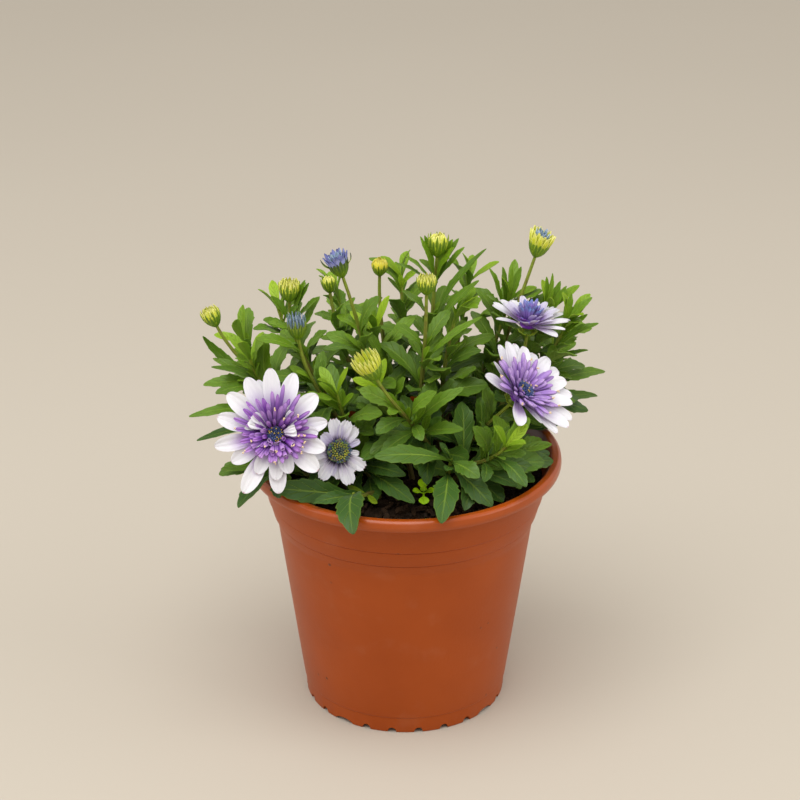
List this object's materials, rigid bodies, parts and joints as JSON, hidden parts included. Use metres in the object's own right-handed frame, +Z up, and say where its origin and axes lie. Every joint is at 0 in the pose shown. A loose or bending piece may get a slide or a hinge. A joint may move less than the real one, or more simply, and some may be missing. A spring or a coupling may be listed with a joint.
{
  "type": "potted osteospermum",
  "caption": "Bushy African daisy with toothed green leaves, white rays, violet tubular florets and closed buds, growing in a round tapered plastic nursery pot.",
  "frame": {"origin": "centre of the pot's foot ring, at the level of the surface it stands on", "axes": "+Z up along the pot's axis and the plant's height; the plant's front, with the two large open flowers, faces -Y; +X to the right seen from the front"},
  "size_m": [0.226, 0.1855, 0.2583],
  "materials": {
    "pot_plastic": "semi-matte",
    "soil": "rough, bark-based",
    "foliage": "satin leaf",
    "seedling_leaf": "satin leaf",
    "bud_petal": "satin petal",
    "bud_petal_blue": "satin petal",
    "ray_petal": "satin petal",
    "floret": "satin petal",
    "young_floret": "satin petal",
    "disc": "matte"
  },
  "bodies": {
    "root": {"pot": "pot_plastic", "soil": "soil", "seedling": "seedling_leaf", "bud_01": "foliage", "petals_01": "bud_petal", "bud_02": "foliage", "petals_02": "bud_petal", "bud_03": "foliage", "petals_03": "bud_petal_blue", "bud_04": "foliage", "petals_04": "bud_petal_blue", "bud_05": "foliage", "petals_05": "bud_petal", "bud_06": "foliage", "petals_06": "bud_petal", "bud_07": "foliage", "petals_07": "bud_petal", "bud_08": "foliage", "petals_08": "bud_petal", "bud_09": "foliage", "petals_09": "bud_petal", "bud_10": "foliage", "petals_10": "bud_petal_blue", "bloom_a": "foliage", "rays_a": "ray_petal", "florets_a": "floret", "disc_a": "disc", "bloom_b": "foliage", "rays_b": "ray_petal", "florets_b": "floret", "disc_b": "disc", "bloom_c": "foliage", "rays_c": "ray_petal", "florets_c": "floret", "disc_c": "disc", "bloom_d": "foliage", "rays_d": "ray_petal", "florets_d": "young_floret", "disc_d": "disc", "leafy_01": "foliage", "leafy_02": "foliage", "leafy_03": "foliage", "leafy_04": "foliage", "leafy_05": "foliage", "leafy_06": "foliage", "leafy_07": "foliage", "leafy_08": "foliage", "leafy_09": "foliage", "leafy_10": "foliage", "leafy_11": "foliage", "leafy_12": "foliage", "leafy_13": "foliage", "leafy_14": "foliage", "leafy_15": "foliage", "leafy_16": "foliage", "leafy_17": "foliage", "leafy_18": "foliage", "leafy_19": "foliage", "leafy_20": "foliage"}
  },
  "joints": []
}
